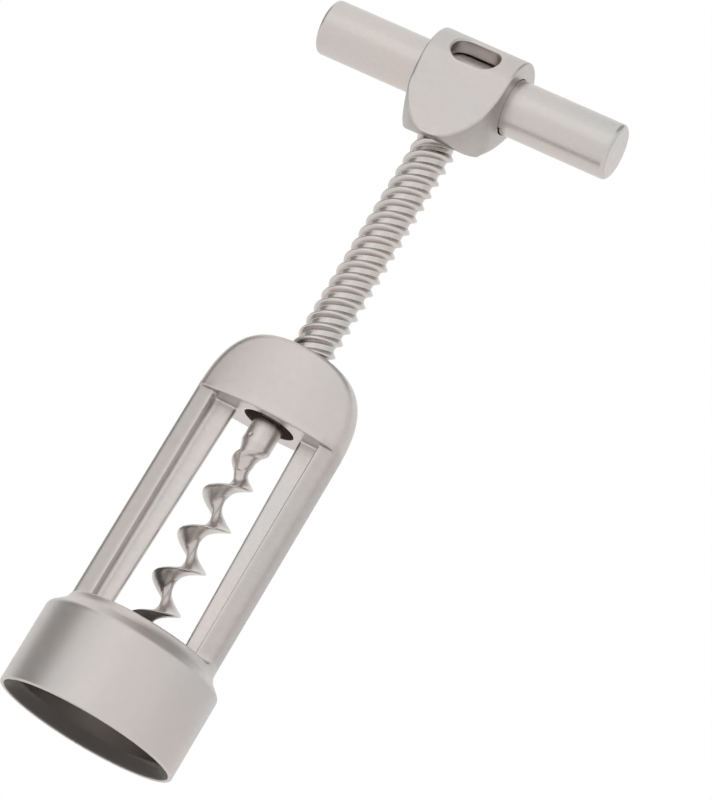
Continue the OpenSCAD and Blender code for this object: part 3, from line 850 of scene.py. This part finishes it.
def hub_distance(p):
    """Distance from the hub's surface, with the bar's axis through the origin. Above, it is a
    cylinder round the bar, with a tangent down to the shield's top. Below, across the spindle,
    it is a circle of radius body - narrow drop^2. From its front the two tangents run to the
    shield's edge, whose half width is half (1 - share^power) ^ (1 / power), and its back is a
    flattened circle that draws in as back - draw drop^power. The bore, the slot, the stem's
    hole and the hollow under it are taken out."""
    x, y, z = np.abs(p[..., 0]), p[..., 1], p[..., 2]
    r = np.hypot(x, y)
    drop = np.maximum(-z, 0)

    lean = math.atan2(SHIELD_TOP, SHIELD_Y) + math.acos(HUB_R / math.hypot(SHIELD_TOP, SHIELD_Y))
    brow = -y * math.cos(lean) + z * math.sin(lean) - HUB_R
    upper = np.where((y < 0) & (np.arctan2(z, -y) < lean), brow, np.hypot(y, z) - HUB_R)

    w = BODY_R - BODY_NARROW * drop ** 2
    down = np.clip((drop - SHIELD_SPRING) / (SHIELD_FOOT - SHIELD_SPRING), 0, 1)
    half = HUB_HALF * (1 - down ** SHIELD_POWER) ** (1 / SHIELD_POWER)
    far = np.hypot(half, SHIELD_Y)
    alpha = np.arctan2(half, SHIELD_Y) + np.arccos(np.clip(w / far, -1, 1))
    tangent = x * np.sin(alpha) - y * np.cos(alpha) - w
    side = np.where(np.arctan2(x, -y) < alpha, tangent, r - w)

    back = BACK_Y - BACK_DRAW * drop ** BACK_DRAW_POWER
    reach = np.maximum(back, BACK_LEAST)
    lump = np.maximum(x / w, 1e-6) ** BACK_POWER + np.maximum(y / reach, 1e-6) ** BACK_POWER
    lump = (lump ** (1 / BACK_POWER) - 1) * np.minimum(w, reach)
    blend = ease(drop / BACK_FADE)
    rear = (y - HUB_R) * (1 - blend) + lump * blend
    draw = (y - back) / np.hypot(1, BACK_SLOPE * drop ** BACK_SLOPE_POWER)
    lower = np.where(y > 0, rear, side)
    lower = np.where(back < BACK_LEAST, np.maximum(side, draw), lower)

    sole = (-SHIELD_FOOT + SOLE_SLOPE * (y + SHIELD_Y) - z) / math.hypot(1, SOLE_SLOPE)
    body = edge(np.where(z > 0, upper, lower), -SHIELD_Y - y, SHIELD_ROUND)
    body = edge(body, sole, SOLE_ROUND)
    body = edge(body, x - HUB_HALF, SIDE_ROUND + SIDE_SOFTER * np.clip((drop - 1) / 5, 0, 1))

    body = edge(body, BORE_R - np.hypot(y, z), BORE_ROUND)
    across = y * math.sin(SLOT_RISE) + z * math.cos(SLOT_RISE)
    outward = -y * math.cos(SLOT_RISE) + z * math.sin(SLOT_RISE)
    slot = np.hypot(np.maximum(x - SLOT_HALF, 0), across) - SLOT_R
    body = edge(body, -np.maximum(slot, -outward), SLOT_ROUND)
    body = np.maximum(body, -np.maximum(r - STEM_HOLE_R, z + STEM_HOLE_DROP))
    return np.maximum(body, -np.maximum(r - HOLLOW_R, z + HOLLOW_DROP))


# Painted shade under the hub's shield, carried by the shade attribute.
SHADE_SHIELD, SHADE_DEPTH = 0.6, 9


def painted_shade_under_shield(points):
    """Painted shade on the hub's body where the shield overhangs it: most just behind the shield's
    edge, below the bar, and less towards the back, as shield e^(-behind / depth)."""
    behind = points[:, 1] + SHIELD_Y
    shadow = SHADE_SHIELD * np.clip((behind - 0.2) / 0.5, 0, 1) * np.exp(-behind / SHADE_DEPTH)
    return SHADE_ALL + shadow * np.clip(-points[:, 2] / 3, 0, 1)


HUB_GAP = 0.3
span = steps((-10.9, HUB_GAP), (10.9, HUB_GAP))
rise = steps((-18.0, HUB_GAP), (10.7, HUB_GAP))
hub = cast_piece("hub_casting", hub_distance, span, span, rise, turn=HEAD_TURN, lift=BAR_Z,
                 shade=painted_shade_under_shield)
hub.data.materials.append(cast_nickel)
give("hub", cast_nickel)
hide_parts("hub")
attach(hub, "screw")

# Cross bar. A round bar turned from steel and nickel plated. It slides in the hub's bore; a
# keyway on its underside takes the pin that holds it.
BAR_HALF = 34.85
BAR_ROUND, KEY_ROUND = 0.9, 0.1
KEY_HALF, KEY_DEEP = 1.15, 5.1
KEY_MIDDLE, KEY_REACH = 4.9, 5.15


def bar_distance(p):
    """Distance from a cylinder along X with rounded ends, less a keyway along its underside."""
    x, y, z = p[..., 0], p[..., 1], p[..., 2]
    bar = edge(np.hypot(y, z) - BAR_R, np.abs(x) - BAR_HALF, BAR_ROUND)
    key = np.maximum(np.abs(x - KEY_MIDDLE) - KEY_REACH, z + KEY_DEEP)
    return edge(bar, -np.maximum(np.abs(y) - KEY_HALF, key), KEY_ROUND)


along = steps((-35.3, 0.2), (-33.5, 0.7), (33.5, 0.2), (35.3, 0.2))
cross = steps((-6.7, 0.27), (6.7, 0.27))
bar = cast_piece("cross_bar", bar_distance, along, cross, cross, turn=HEAD_TURN, lift=BAR_Z)
bar_nickel = metal("bar_nickel", cool=(0.60, 0.585, 0.57), warm=(0.65, 0.59, 0.56),
                   bright=(0.73, 0.70, 0.68), dull=(0.36, 0.33, 0.30), roughness=0.30,
                   skin=(0.4, 0.002, 8.0, 0.012), wear=(0.5, 0.4),
                   marks=(turning_marks, MARK_INPUTS, (0.3, 0.0008, 1.0)))
bar.data.materials.append(bar_nickel)
give("tommy_bar", bar_nickel)
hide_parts("tommy_bar")
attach(bar, "bar")

# Bush, washer, ring and pins. The brass bush is pressed into the crown, and the steel washer and
# snap ring sit on the spindle's neck under it. Steel pins lock the worm, the hub and the bar.
bush_brass = metal("bush_brass", cool=(0.60, 0.43, 0.18), warm=(0.64, 0.45, 0.20),
                   bright=(0.80, 0.62, 0.32), dull=(0.25, 0.17, 0.08), roughness=0.33,
                   skin=(0.4, 0.002, 4.0, 0.006), marks=(turning_marks, MARK_INPUTS, (0.3, 0.001, 0.0)))
give("thread_bush", bush_brass)
for part in ("stop_washer", "stop_ring", "worm_pin", "hub_pin", "bar_retaining_pin"):
    give(part, pin_steel)
